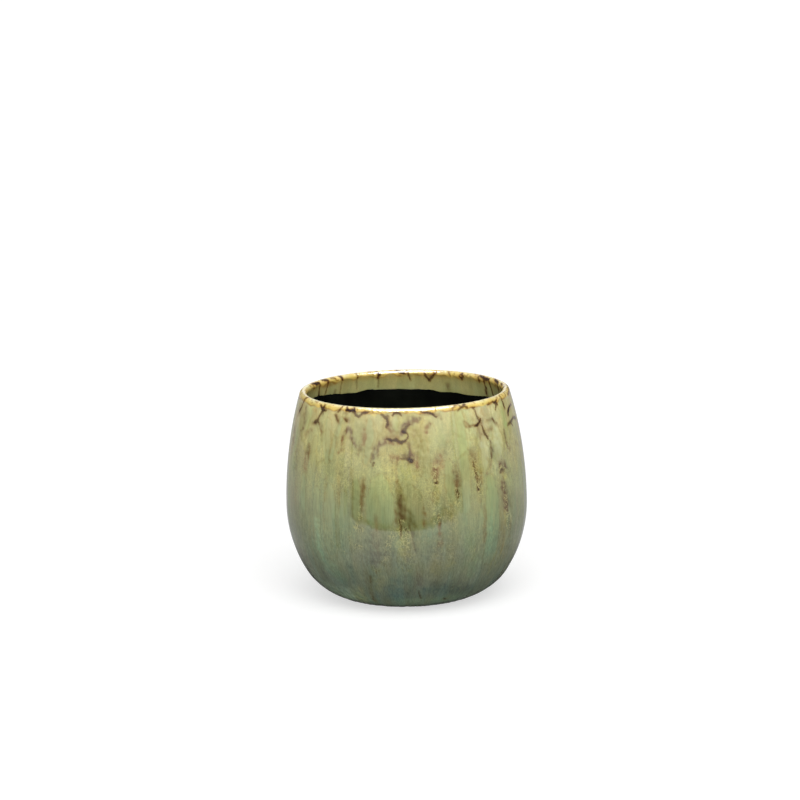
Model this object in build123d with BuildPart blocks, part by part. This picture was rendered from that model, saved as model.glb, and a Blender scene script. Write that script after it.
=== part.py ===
from build123d import *
import os
from math import asin, cos, degrees, radians, sin

# Round glazed cachepot. The origin is the centre of the circle it stands on, +Z is up, and every size
# is in millimetres. Each round piece is one half section in the XZ plane, turned about Z.

# Driving sizes of the fired clay pot. Glaze and lining come on top of them.
clay_height = 123.0  # from the foot to the top of the bare lip
belly_radius = 72.0  # outside, at the widest
mouth_radius = 59.0  # inside, at the narrowest of the bare lip
wall = 3.4
floor_thickness = 4.6  # from the foot's standing face to the inside floor

# The side from foot to belly is two tangent arcs, each with a radius and the angle that it turns through.
heel_radius = 33.0
heel_turn = 43.0
flank_radius = 74.2
flank_turn = 32.5
inside_heel_radius = 26.0  # where the inside wall turns into the floor

# Standing ring and the shallow hollow inside it
foot_ring_width = 12.0
hollow_depth = 1.8
hollow_round = 0.7  # both of its corners

# Reactive glaze outside, over the lip and a little way down the inside
glaze_thickness = 0.5
dry_foot_height = 1.6  # bare clay left under the glaze, above the standing face
collar_depth = 13.0  # how far the glaze comes down inside, below the bare lip
hem_round = 0.35  # the melted edge of the glaze where it stops above the foot

# Black waterproof lining on the rest of the inside
lining_thickness = 0.4

# Self-adhesive felt dots under the standing ring
dot_count = 4
dot_radius = 4.5
dot_thickness = 1.5
dot_edge_round = 0.4

os.makedirs("parts", exist_ok=True)


def finish(piece, name):
    """Gives a finished piece its name and writes it to its own file."""
    piece.label = name
    export_step(piece, f"parts/{name}.step")


# Heights and radii that follow from the driving sizes
foot_z = dot_thickness
lip_top_z = foot_z + clay_height
floor_z = foot_z + floor_thickness
hem_z = foot_z + dry_foot_height
collar_z = lip_top_z - collar_depth

# The outer face leaves the standing face at heel_turn + flank_turn and is upright at the belly.
foot_angle = radians(heel_turn + flank_turn)
flank_angle = radians(flank_turn)
arc_step = flank_radius - heel_radius
belly_z = foot_z + arc_step * sin(flank_angle) + heel_radius * sin(foot_angle)
foot_radius = belly_radius - flank_radius + arc_step * cos(flank_angle) + heel_radius * cos(foot_angle)
heel_centre = (foot_radius - heel_radius * cos(foot_angle), foot_z + heel_radius * sin(foot_angle))

# The shoulder is one arc, upright at the belly. The middle of the wall runs through the lip's centre.
lip_radius = wall / 2
lip_centre = (mouth_radius + lip_radius, lip_top_z - lip_radius)
rise = lip_centre[1] - belly_z
lean = belly_radius - lip_radius - lip_centre[0]
shoulder_radius = (rise**2 + lean**2) / (2 * lean) + lip_radius
shoulder_turn = degrees(asin(rise / (shoulder_radius - lip_radius)))

# Inside, the flank arc stops where the inside heel takes over and turns on to the floor.
inside_flank_radius = flank_radius - wall
inside_flank_turn = degrees(
    asin((belly_z - floor_z - inside_heel_radius) / (inside_flank_radius - inside_heel_radius))
)
inside_shoulder_radius = shoulder_radius - wall
collar_angle = asin((collar_z - belly_z) / inside_shoulder_radius)
upright = 90.0


def outer_face(coat, start_angle):
    """Adds the outside face, a coat's thickness off the clay, from start_angle on the heel to the lip."""
    out = heel_radius + coat
    start = (heel_centre[0] + out * cos(start_angle), heel_centre[1] - out * sin(start_angle))
    heel = JernArc(start, (sin(start_angle), cos(start_angle)), out, degrees(start_angle) - flank_turn)
    flank = JernArc(heel @ 1, heel % 1, flank_radius + coat, flank_turn)
    shoulder = JernArc(flank @ 1, flank % 1, shoulder_radius + coat, shoulder_turn)
    JernArc(shoulder @ 1, shoulder % 1, lip_radius + coat, 2 * upright)
    return heel @ 0


def inside_wall(coat, start_angle, end_angle):
    """Adds a stretch of the inside shoulder, a coat's thickness off the clay, between two angles."""
    reach = inside_shoulder_radius - coat
    centre = (belly_radius - shoulder_radius, belly_z)
    start = (centre[0] + reach * cos(start_angle), centre[1] + reach * sin(start_angle))
    turn = degrees(end_angle - start_angle)
    return JernArc(start, (sin(start_angle), -cos(start_angle)), reach, turn)


def inside_bowl(coat, start_angle):
    """Adds the inside face from start_angle on the shoulder down to the middle of the floor."""
    shoulder = inside_wall(coat, start_angle, 0)
    flank = JernArc(shoulder @ 1, shoulder % 1, inside_flank_radius - coat, -inside_flank_turn)
    heel = JernArc(flank @ 1, flank % 1, inside_heel_radius - coat, inside_flank_turn - upright)
    Line(heel @ 1, (0, floor_z + coat))
    return shoulder @ 0


# Clay body, slip-cast in one piece with an even wall and a rolled lip
ring_inside = foot_radius - foot_ring_width
hollow_z = foot_z + hollow_depth
with BuildPart() as clay_body:
    with BuildSketch(Plane.XZ) as section:
        with BuildLine():
            foot_corner = outer_face(0, foot_angle)
            inside_bowl(0, radians(shoulder_turn))
            Polyline((0, floor_z), (0, hollow_z), (ring_inside, hollow_z), (ring_inside, foot_z), foot_corner)
        make_face()
        hollow_corners = section.vertices().sort_by_distance((ring_inside, hollow_z))[:2]
        fillet(hollow_corners, hollow_round)
    revolve(axis=Axis.Z)
finish(clay_body.part, "clay_body")

# Reactive glaze, one even coat from the dry foot up, over the lip and down to the collar line inside
hem_angle = asin((heel_centre[1] - hem_z) / heel_radius)
with BuildPart() as reactive_glaze:
    with BuildSketch(Plane.XZ) as section:
        with BuildLine():
            clay_start = outer_face(0, hem_angle)
            clay_collar = inside_wall(0, radians(shoulder_turn), collar_angle)
            glaze_start = outer_face(glaze_thickness, hem_angle)
            glaze_collar = inside_wall(glaze_thickness, radians(shoulder_turn), collar_angle)
            Line(clay_start, glaze_start)
            Line(clay_collar @ 1, glaze_collar @ 1)
        make_face()
        fillet(section.vertices().sort_by_distance(glaze_start)[0], hem_round)
    revolve(axis=Axis.Z)
finish(reactive_glaze.part, "reactive_glaze")

# Black lining, from the collar line down the wall and over the whole floor
with BuildPart() as black_lining:
    with BuildSketch(Plane.XZ):
        with BuildLine():
            clay_edge = inside_bowl(0, collar_angle)
            lining_edge = inside_bowl(lining_thickness, collar_angle)
            Line(clay_edge, lining_edge)
            Line((0, floor_z), (0, floor_z + lining_thickness))
        make_face()
    revolve(axis=Axis.Z)
finish(black_lining.part, "black_lining")

# Felt dots, stuck to the middle of the standing ring
dot_circle_radius = foot_radius - foot_ring_width / 2
dot_places = PolarLocations(dot_circle_radius, dot_count, start_angle=upright / 2)
for number, place in enumerate(dot_places, 1):
    with BuildPart() as felt_dot:
        with BuildSketch(Plane.XY):
            with Locations(place.position):
                Circle(dot_radius)
        extrude(amount=dot_thickness)
        fillet(felt_dot.edges().group_by(Axis.Z)[0], dot_edge_round)
    finish(felt_dot.part, f"felt_dot_{number}")
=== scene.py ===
import math

import bpy
import numpy as np
from mathutils import Matrix, Vector


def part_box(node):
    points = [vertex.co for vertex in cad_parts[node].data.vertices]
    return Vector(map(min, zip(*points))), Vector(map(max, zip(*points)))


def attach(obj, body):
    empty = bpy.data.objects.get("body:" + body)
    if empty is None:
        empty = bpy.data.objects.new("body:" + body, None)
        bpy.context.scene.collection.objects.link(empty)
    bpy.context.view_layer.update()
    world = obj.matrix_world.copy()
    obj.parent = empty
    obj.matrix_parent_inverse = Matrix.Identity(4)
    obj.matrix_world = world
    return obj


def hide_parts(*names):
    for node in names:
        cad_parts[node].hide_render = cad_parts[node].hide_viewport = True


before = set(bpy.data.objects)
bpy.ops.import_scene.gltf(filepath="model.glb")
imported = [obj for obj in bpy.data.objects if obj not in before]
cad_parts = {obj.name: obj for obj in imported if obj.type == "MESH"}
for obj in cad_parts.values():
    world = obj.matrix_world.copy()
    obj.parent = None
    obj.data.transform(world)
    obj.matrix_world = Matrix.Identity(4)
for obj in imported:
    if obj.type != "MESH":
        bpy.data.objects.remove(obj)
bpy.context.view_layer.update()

# Clay body. Slip-cast stoneware in one piece, with an even wall, a rolled lip and a standing ring round a
# shallow hollow. It is bare only at the foot, which is sponged smooth, because glaze covers all the rest.
MM = 0.001
CLAY_LOW, CLAY_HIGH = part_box("clay_body")


def finish_of(name):
    """Starts a material, and gives it and its shader's inputs. The helpers below add their nodes to it."""
    global tree
    made = bpy.data.materials.new(name)
    made.use_nodes = True
    tree = made.node_tree
    return made, tree.nodes["Principled BSDF"].inputs


def feed(socket, value):
    """Links a socket to another node's output, or sets its own value."""
    if isinstance(value, bpy.types.NodeSocket):
        tree.links.new(value, socket)
    elif socket.type == "RGBA":
        socket.default_value = (*value, 1.0)
    else:
        socket.default_value = value


def add(kind, settings=None, inputs=None, out=0):
    """Adds one shader node and gives back one of its outputs."""
    made = tree.nodes.new("ShaderNode" + kind)
    for name, value in (settings or {}).items():
        setattr(made, name, value)
    for name, value in (inputs or {}).items():
        feed(made.inputs[name], value)
    return made.outputs[out]


def maths(operation, *values):
    return add("Math", {"operation": operation}, dict(enumerate(values)))


def mixed(share, first, second, blend="MIX"):
    """Mixes two colours."""
    return add("Mix", {"data_type": "RGBA", "blend_type": blend}, {0: share, 6: first, 7: second}, out=2)


def ranged(value, low, high, to_low=0.0, to_high=1.0):
    """Turns a value between low and high smoothly into one between to_low and to_high."""
    return add(
        "MapRange", {"interpolation_type": "SMOOTHSTEP"},
        {"Value": value, "From Min": low, "From Max": high, "To Min": to_low, "To Max": to_high},
    )


def noise(place, scale, detail=3.0, roughness=0.5, out=0):
    inputs = {"Vector": place, "Scale": scale, "Detail": detail, "Roughness": roughness}
    return add("TexNoise", {}, inputs, out)


def stretched(place, *scales):
    return add("Mapping", {}, {"Vector": place, "Scale": scales})


def bump(height, strength, distance):
    return add("Bump", {}, {"Height": height, "Strength": strength, "Distance": distance})


def linear(colour):
    """A paint colour in 0 to 255, as the shader's linear light."""
    share = np.array(colour, float) / 255
    return np.where(share <= 0.04045, share / 12.92, ((share + 0.055) / 1.055) ** 2.4)


bare_clay, shader = finish_of("bare_clay")
place = add("TexCoord", out="Object")
body_tone = noise(place, 140, 5, 0.6)
grit = add("TexVoronoi", {}, {"Vector": place, "Scale": 900}, out="Distance")
sponged = noise(stretched(place, 1, 1, 4), 500, 4)
clay = mixed(ranged(body_tone, 0.35, 0.65), linear((176, 160, 134)), linear((198, 184, 158)))
clay = mixed(ranged(grit, 0.10, 0.22, 0.5, 0.0), clay, linear((104, 82, 60)))
feed(shader["Base Color"], clay)
feed(shader["Roughness"], ranged(body_tone, 0.3, 0.7, 0.78, 0.92))
surface = maths("SUBTRACT", sponged, ranged(grit, 0.08, 0.2, 0.3, 0.0))
feed(shader["Normal"], bump(surface, 0.35, 0.0002))
clay_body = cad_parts["clay_body"]
clay_body.data.materials.clear()
clay_body.data.materials.append(bare_clay)

# Reactive glaze. A thick coat fired on the outside, over the lip and a little way down the inside. It pulls
# thin and honey-coloured on the lip, breaks into dark iron veins under it and runs to sage and grey-green.
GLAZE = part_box("reactive_glaze")[1].x - CLAY_HIGH.x
FOOT_Z, CREST_Z, BELLY_R = CLAY_LOW.z, CLAY_HIGH.z, CLAY_HIGH.x
WALL, FLOOR, MOUTH_R = 3.4 * MM, 4.6 * MM, 59.0 * MM
HEEL_R, HEEL_TURN = 33.0 * MM, 43.0
FLANK_R, FLANK_TURN = 74.2 * MM, 32.5
INSIDE_HEEL_R = 26.0 * MM
COLUMNS = 568

# The band at the foot that stays bare, and how far the coats' hidden faces stand off the clay.
DRY_FOOT, SEAT = 1.6 * MM, 0.02 * MM

# The wall is a chain of tangent arcs: a centre, a radius, and the angles where the arc starts and ends, in
# degrees up from level outwards. A radius below zero is a face seen from inside its arc.
heel_angle, flank_angle = math.radians(HEEL_TURN + FLANK_TURN), math.radians(FLANK_TURN)
arc_step = FLANK_R - HEEL_R
BELLY_Z = FOOT_Z + arc_step * math.sin(flank_angle) + HEEL_R * math.sin(heel_angle)
flank_centre = (BELLY_R - FLANK_R, BELLY_Z)
heel_centre = (flank_centre[0] + arc_step * math.cos(flank_angle), FOOT_Z + HEEL_R * math.sin(heel_angle))
LIP_R = WALL / 2
lip_centre = (MOUTH_R + LIP_R, CREST_Z - LIP_R)
rise, lean = lip_centre[1] - BELLY_Z, BELLY_R - LIP_R - lip_centre[0]
SHOULDER_R = (rise**2 + lean**2) / (2 * lean) + LIP_R
SHOULDER_TURN = math.degrees(math.asin(rise / (SHOULDER_R - LIP_R)))
shoulder_centre = (BELLY_R - SHOULDER_R, BELLY_Z)
inside_flank_r, inside_step = FLANK_R - WALL, FLANK_R - WALL - INSIDE_HEEL_R
inside_turn = math.degrees(math.asin((BELLY_Z - FOOT_Z - FLOOR - INSIDE_HEEL_R) / inside_step))
inside_heel_centre = (
    flank_centre[0] + inside_step * math.cos(math.radians(inside_turn)),
    FOOT_Z + FLOOR + INSIDE_HEEL_R,
)
OUTSIDE = (
    (lip_centre, LIP_R, 90.0, SHOULDER_TURN),
    (shoulder_centre, SHOULDER_R, SHOULDER_TURN, 0.0),
    (flank_centre, FLANK_R, 0.0, -FLANK_TURN),
    (heel_centre, HEEL_R, -FLANK_TURN, -FLANK_TURN - HEEL_TURN),
)
INSIDE = (
    (lip_centre, LIP_R, 90.0, 180.0 + SHOULDER_TURN),
    (shoulder_centre, WALL - SHOULDER_R, SHOULDER_TURN, 0.0),
    (flank_centre, -inside_flank_r, 0.0, -inside_turn),
    (inside_heel_centre, -INSIDE_HEEL_R, -inside_turn, -90.0),
)


def wall_at(arcs, runs):
    """Radius, height and normal on the clay, at runs in metres from the crest along the glaze's face."""
    found = np.zeros((4, *runs.shape))
    left = runs.astype(float).copy()
    todo = np.ones(runs.shape, bool)
    for number, (centre, radius, start, end) in enumerate(arcs):
        side = 1 if radius > 0 else -1
        length = abs(math.radians(end - start)) * (abs(radius) + side * GLAZE)
        here = todo & ((left <= length) | (number == len(arcs) - 1))
        angle = np.radians(start + (end - start) * left[here] / length)
        across, up = np.cos(angle), np.sin(angle)
        found[:, here] = (
            centre[0] + abs(radius) * across, centre[1] + abs(radius) * up, side * across, side * up
        )
        todo &= ~here
        left[todo] -= length
    return found


def run_of(arcs):
    return sum(
        abs(math.radians(end - start)) * (abs(radius) + math.copysign(GLAZE, radius))
        for centre, radius, start, end in arcs
    )


def on_wall(runs, coats):
    """Radius and height at runs from the crest, down the outside above zero and down the inside below."""
    outer, inner = wall_at(OUTSIDE, np.maximum(runs, 0)), wall_at(INSIDE, np.maximum(-runs, 0))
    radius, height, across, up = np.where(runs >= 0, outer, inner)
    return radius + coats * across, height + coats * up


# Degrees round the pot, 0 at the front, where the columns of the mesh stand a little closer together.
even_turns = np.linspace(-180, 180, COLUMNS, endpoint=False)
turns = even_turns - 17 * np.sin(np.radians(even_turns))


def wave(seed, lowest, highest, size, at=turns):
    """A seeded unevenness round the pot, of whole waves so that it closes, about size high."""
    chance = np.random.default_rng(seed)
    total = np.zeros(np.shape(at))
    for count in range(lowest, highest):
        total += chance.normal() * np.cos(np.radians(count * at) + chance.uniform(0, math.tau))
    return size * total / math.sqrt((highest - lowest) / 2)


# How far the glaze runs down inside, in mm at places round the pot: longer and shorter runs between them.
COLLAR_RUNS = (
    (118, 15.2), (127, 15.5), (135, 16.4), (140, 16.7), (148, 16.0), (158, 16.2), (165, 15.1), (180, 14.6),
    (190, 14.4), (202, 13.7), (210, 14.8), (220, 14.0), (225, 13.3), (235, 12.3), (245, 11.5), (262, 13.6),
    (285, 15.4), (305, 14.1), (330, 15.8), (350, 14.3), (375, 15.6), (400, 14.6), (425, 16.1), (450, 14.4),
)
run_places, run_depths = np.array(COLLAR_RUNS).T
collar_run = -MM * (np.interp(turns % 360, run_places, run_depths, period=360) + wave(3, 20, 50, 0.1))
hem_waves = MM * (wave(7, 3, 20, 0.3) + wave(8, 20, 80, 0.12))
hem_run = run_of(OUTSIDE) - DRY_FOOT / math.sin(heel_angle) + hem_waves


def bell(distance, width):
    return np.exp(-((distance / width) ** 2))


# Rows of the mesh, as shares of the way from the crest, closer together on the lip and in the veined part.
collar_rows = np.concatenate([[1, 0.98, 0.96, 0.94], 1 - np.linspace(0.06, 1, 22)[1:-1] ** 0.8])
LIP_END, VEINS_END, HEM = 4.8, 50, 127
upper_rows = np.concatenate([
    np.linspace(0, LIP_END, 14, endpoint=False), np.linspace(LIP_END, VEINS_END, 65, endpoint=False),
    np.linspace(VEINS_END, HEM, 55),
]) / HEM
runs = np.concatenate([collar_rows[:, None] * collar_run, upper_rows[:, None] * hem_run])
WIDE, DEEP = np.broadcast_to(turns, runs.shape), runs / MM

# How uneven the coat is, as a share of its thickness: drips, thin on the lip and rolled up at the foot.
edge = np.minimum(runs - collar_run, hem_run - runs) / MM
relief = 0.10 * wave(11, 12, 70, 1.0) * np.clip((DEEP - 6) / 20, 0, 1) + 0.05 * wave(12, 60, 150, 1.0)
relief += 0.25 * bell(edge - 1.6, 1.1) * (DEEP > 0) - 0.12 * bell(DEEP, 3.2)
coat = GLAZE * (1 + relief) * np.sqrt(np.clip(edge / 0.7, 0.0, 1.0))
glaze_radii, glaze_heights = on_wall(runs, coat)
under = np.concatenate([
    np.linspace(1, 0.03, 15)[:, None] * hem_run, np.linspace(0.06, 1, 5)[:, None] * collar_run,
])[1:-1]
under_radii, under_heights = on_wall(under, np.full(under.shape, SEAT))


def made_of(name, points, faces, finish):
    """A mesh of one material, put in the scene."""
    mesh = bpy.data.meshes.new(name)
    mesh.from_pydata(points, [], faces)
    mesh.update()
    mesh.shade_smooth()
    mesh.materials.append(finish)
    piece = bpy.data.objects.new(name, mesh)
    bpy.context.scene.collection.objects.link(piece)
    return piece


def turned(name, radii, heights, finish, body="root"):
    """A closed skin turned about the pot's axis, with one row of columns for each step of its section."""
    rows, columns = radii.shape
    angles = np.radians(turns)
    points = np.stack([radii * np.sin(angles), -radii * np.cos(angles), heights], axis=-1).reshape(-1, 3)
    upper = np.arange(rows)[:, None] * columns
    lower = (np.arange(rows)[:, None] + 1) % rows * columns
    near = np.arange(columns)
    far = (near + 1) % columns
    quads = np.stack([upper + near, lower + near, lower + far, upper + far], axis=-1).reshape(-1, 4)
    piece = made_of(name, points.tolist(), quads.tolist(), finish)
    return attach(piece, body)


# Paints, in 0 to 255, and tints, which multiply the colour that is there.
HONEY, AMBER, STRAW = (246, 215, 112), (168, 112, 40), (250, 240, 186)
CREAM = (208, 205, 150)
MAUVE, PLUM, FAWN = (140, 118, 86), (114, 90, 64), (156, 128, 84)
BARK, UMBER, RUST = (120, 90, 56), (80, 58, 32), (126, 90, 54)
GREENER, BLUER, OLIVER = (0.89, 1.00, 0.93), (0.88, 1.00, 1.05), (0.86, 0.85, 0.70)
PALER, DARKER, BROWNER = (1.22, 1.22, 1.18), (0.72, 0.74, 0.76), (0.96, 0.86, 0.75)
PURPLER, GOLDEN = (0.98, 0.90, 0.97), (1.28, 1.20, 0.96)

# The ground colour down the outside, in mm from the crest, and down the inside.
GROUND = (
    (5, (211, 201, 143)), (20, (195, 190, 132)), (35, (182, 179, 123)), (46, (170, 170, 117)),
    (60, (157, 160, 116)), (72, (141, 147, 109)), (84, (126, 134, 101)), (96, (127, 134, 108)),
    (108, (123, 131, 111)), (118, (116, 127, 110)), (128, (133, 147, 124)),
)
COLLAR_GROUND = ((5, (206, 186, 108)), (7.5, (204, 196, 128)), (12, (208, 205, 138)))

# Broad washes: a tint, and points of degrees round, mm down and half width in mm.
WASHES = (
    ((0.94, 0.94, 0.93), (-25, 96, 4), (-24, 108, 3.5)),
    ((1.09, 1.09, 1.09), (33, 62, 7), (38, 96, 6)),
    ((1.07, 1.07, 1.06), (-41, 78, 5), (-42, 90, 5)),
    ((1.12, 1.12, 1.08), (0, 38, 3), (0, 42, 2)),
    ((1.12, 1.12, 1.13), (58, 6, 4), (57, 17, 4)),
    # Painted light: paler low on the left flank by the foot, where side light would fall.
    ((1.26, 1.26, 1.26), (-56, 116, 6), (-42, 124, 6)),
    ((0.89, 0.89, 0.87), (-18, 11, 3), (-17, 33, 3)),
    ((0.92, 0.92, 0.88), (8, 13, 4), (10, 30, 4)),
    ((0.92, 0.92, 0.90), (14, 84, 3.5), (24, 84, 3.5), (24, 92, 3.5)),
    ((1.08, 1.09, 1.10), (-44, 74, 5.5), (-42, 112, 5.5)),
    # Painted light: paler low on the left flank, where side light would fall.
    ((1.18, 1.18, 1.18), (-60, 107, 6), (-54, 121, 5)),
    ((1.10, 1.11, 1.10), (-8, 38, 4), (-8, 47, 3)),
    ((0.94, 0.98, 1.04), (-46, 54, 9), (-44, 108, 8)),
    ((1.03, 1.00, 0.93), (55, 56, 6), (54, 100, 6)),
    ((1.01, 0.98, 0.79), (3, 10, 7), (2, 34, 7)),
    ((0.96, 1.00, 1.09), (34, 8, 6), (36, 24, 5)),
    ((0.93, 0.98, 0.97), (22, 9, 4), (21, 20, 4)),
    ((1.02, 1.00, 0.92), (39, 46, 5), (40, 64, 5)),
    ((0.85, 0.85, 0.85), (-18, 86, 7), (22, 89, 7)),
    ((1.13, 1.15, 1.10), (3.6, 91, 2.2), (4.6, 97, 2.2)),
    ((0.82, 0.84, 0.86), (2, 115, 4), (13, 115, 4)),
    # Painted light: paler low on the right flank, where side light would fall.
    ((1.28, 1.26, 1.22), (69, 92, 5), (68, 112, 5)),
    ((0.92, 0.92, 0.90), (-20, 15, 4), (-21, 25, 3)),
    ((0.93, 0.92, 0.92), (6, 15, 3), (7, 34, 4)),
    ((1.10, 1.11, 1.10), (36.5, 8, 3), (35, 24, 3)),
    ((1.12, 1.12, 1.14), (49, 7, 4), (54, 9, 3), (54, 26, 3)),
    ((0.90, 0.88, 0.80), (-27, 7, 5), (-25, 24, 5)),
    ((0.87, 0.87, 0.88), (2, 9, 5), (4, 32, 6)),
    ((1.15, 1.15, 1.14), (32, 6, 4.5), (30, 28, 3.5)),
    ((1.14, 1.14, 1.12), (-11, 33, 3.5), (-8, 47, 4)),
    ((0.98, 1.00, 1.19), (45, 8, 7), (49, 36, 7)),
    ((0.91, 0.91, 0.92), (-22, 46, 3.5), (-20, 100, 4)),
    ((1.02, 1.00, 0.91), (2, 73, 6), (4, 93, 6)),
    ((1.01, 1.00, 0.92), (21, 72, 5), (20, 94, 5)),
    ((0.92, 0.92, 0.92), (-27, 89, 3), (25, 89, 3)),
    ((1.07, 1.06, 1.07), (-41, 100, 5), (-37, 110, 5), (-27, 120, 4)),
    ((0.90, 0.90, 0.92), (-13, 76, 2.5), (-12, 95, 3)),
    # Painted reflection: these two olive washes trace the curved lower edge of the dark reflection across
    # the front.
    (OLIVER, (-22, 64, 0.9), (-19.4, 66.3, 0.9), (-15, 68.8, 1.3), (-10, 69.6, 1.3), (-5.6, 70, 1.3)),
    (OLIVER, (1.6, 69.4, 1.4), (7, 68, 1.4), (12, 66, 1.3), (16.8, 63.2, 1)),
    ((0.94, 1.00, 1.06), (6, 75, 2.6), (19, 72, 3)),
    ((1.15, 1.15, 1.14), (-48, 76, 5), (-43, 92, 5.5), (-41, 106, 4)),
    # Painted light: paler down the left flank, where side light would fall.
    ((1.24, 1.24, 1.24), (-62, 92, 4), (-61, 118, 4.6)),
    # Painted light: paler along the foot on the left, lifting shade the lamps leave there.
    ((1.28, 1.30, 1.24), (-54, 119, 4), (-40, 121, 4), (-26, 123, 3)),
    # Painted light: paler low on the right flank, where side light would fall.
    ((1.15, 1.11, 1.10), (57, 100, 5), (53, 118, 6)),
    ((0.82, 0.84, 0.87), (-8, 104, 1.5), (2, 105, 3), (12, 110, 4), (25, 112, 4), (37, 116, 2.5)),
    ((0.82, 0.86, 0.92), (-12, 111, 2), (-8, 116, 4)),
    ((0.86, 0.88, 0.92), (-47, 106, 3), (-37, 110, 3)),
    ((1.10, 1.16, 1.06), (-4, 124, 3), (16, 124, 3), (30, 124, 3)),
)

# Paler and darker places: how light, degrees round, mm down from and to, and half width in mm.
SHADES = (
    (0.90, -30, 38, 49, 3.5), (1.10, -60, 7, 24, 4), (0.91, 59, 33, 43, 4), (0.88, -24, 12, 24, 3),
    (0.90, -24, 42, 64, 3), (0.90, 18, 28, 40, 3), (0.84, 18, 60, 76, 3.8), (0.91, -14, 76, 94, 4.5),
    # The paler shade at -70 degrees, 92 to 112 mm down, on the next line is painted light on the left
    # flank.
    (1.10, 47, 12, 28, 3.5), (1.13, -70, 92, 112, 5), (1.12, -48, 12, 30, 3.5),
    (1.13, 47.6, 37, 52, 2), (1.13, 42, 68, 94, 2.5), (0.88, 59, 96, 101, 2.2),
    (0.92, 30, 50, 55, 2.2), (0.92, -18, 116, 120, 3), (0.87, 55.2, 10, 13.6, 1.2),
    (0.88, -18, 72, 78, 1.8), (0.89, 21, 23, 30, 2), (0.92, 46.4, 7, 8.8, 1.4),
    (0.89, -1, 91, 94, 2.6), (0.85, -13.6, 87, 92, 2),
)

# Upright streaks: a paint, then how strong, degrees round, mm down from and to, and half width in mm.
STREAKS = (
    (PURPLER,
        (1.0, -75.8, 14, 34, 3), (1.0, -16.2, 73, 92, 2.8), (0.8, -66, 50, 100, 6),
        (0.8, -62, 100, 120, 5)),
    (GREENER,
        (0.8, -71, 24, 44, 2), (0.8, -59.5, 7, 16, 2), (1.0, 62.2, 7, 18, 2.4), (0.8, 30, 80, 96, 2.9)),
    (FAWN,
        (0.35, -36.6, 11, 24, 0.8), (0.35, 12.6, 51.4, 54.6, 1.1), (0.3, 4.5, 14.4, 16.2, 1.1),
        (0.25, 14.3, 50, 54, 0.9), (0.5, 16.8, 29, 36, 0.7)),
    (PALER,
        (0.8, -57.5, 53, 63, 2), (0.9, -33.2, 117, 121, 3), (0.6, -26.7, 27, 31, 1.7),
        (0.6, -6.6, 36.6, 42, 2), (0.5, -44.8, 32, 37, 1.8), (0.45, -44, 8, 10.6, 1.3),
        (0.4, 5, 39.4, 43, 1.5), (0.4, 9.3, 44.4, 48, 1.6), (0.4, 2.3, 12.2, 14, 0.9),
        (0.3, 60, 10, 14, 1.5), (0.4, 42.4, 6.6, 9, 1.3), (0.35, 30, 6.6, 10, 1.6),
        (0.4, -60, 68, 73, 3), (0.7, -64, 108, 113, 3), (0.45, 40.9, 49.5, 54, 1.2),
        (0.45, 35.4, 18.4, 22, 1.3), (0.5, 55.9, 25, 33, 1.5), (0.6, 51.6, 7.6, 9.4, 1.5),
        (0.5, -33.7, 12.8, 15, 0.9), (0.4, -3.3, 6.6, 8.6, 1.2), (0.6, -8.1, 26, 29.2, 1.6),
        (0.6, -48.4, 26.6, 30, 1.4), (0.7, 43.7, 24.4, 29, 1.6), (0.9, 52.8, 47.6, 50.4, 1.2)),
    (BARK, (0.35, 35.9, 47.6, 50, 0.9), (0.55, 153.5, -10, -13.5, 1.2), (0.6, 124, -10.5, -14, 1.3)),
    (OLIVER, (0.6, 12.8, 67.4, 69.4, 1.2), (1.0, 14, 48, 56, 1.3), (0.6, -34.5, 60, 84, 1.2)),
    (BROWNER,
        (1.0, 38.5, 66, 82, 0.9), (1.0, 7.9, 60, 70, 0.9), (0.5, -16, 76, 90, 2.5),
        (0.8, -41.1, 43, 57, 1), (0.8, -33.5, 43, 58, 1), (1.0, 49.5, 66, 78, 0.9)),
    (BLUER, (0.8, 8.8, 72, 88, 3), (0.7, 43.8, 50, 90, 3.8), (0.6, -57.5, 48, 64, 2.4)),
    ((0.97, 1.02, 1.01), (1.0, -36, 84, 104, 4)),
    ((1.04, 0.98, 0.97), (1.0, 20, 50, 66, 3.5)),
    ((0.98, 1.00, 1.05), (1.0, -42, 9, 28, 3.2)),
    ((0.96, 1.00, 0.97), (1.0, 29, 6, 28, 6)),
    ((1.05, 0.98, 0.92), (1.0, 37, 44, 62, 2)),
    ((0.91, 0.89, 0.84), (1.0, -0.2, 47, 52.4, 1.8)),
    ((0.90, 0.91, 0.86), (1.0, -3.8, 11, 15, 1.3)),
    ((0.88, 0.87, 0.83), (1.0, -11, 12, 16, 1.3)),
    ((0.87, 0.86, 0.84), (1.0, 42.4, 21, 23.5, 1)),
    ((0.88, 0.89, 0.86), (1.0, -22.6, 27, 31, 1.5)),
    ((0.90, 0.88, 0.86), (1.0, 26, 46, 52, 1.5)),
    ((0.90, 0.89, 0.86), (1.0, 6.4, 33, 38, 2.4)),
    ((0.90, 0.89, 0.82), (1.0, 8, 19, 25, 2.5)),
    ((0.86, 0.84, 0.82), (1.0, -5.7, 84, 90, 1.3)),
    ((0.90, 0.88, 0.84), (1.0, -4.8, 67, 75, 1)),
    ((0.89, 0.89, 0.86), (1.0, 33, 48, 56, 1.2)),
    ((0.84, 0.82, 0.80), (1.0, 59.9, 82, 91, 3)),
    (DARKER, (0.8, -29.8, 96, 107, 2)),
    (GOLDEN, (0.6, 13, 88, 97, 1.8)),
    (RUST, (0.5, 225.2, -10.5, -13, 0.8)),
)

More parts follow.
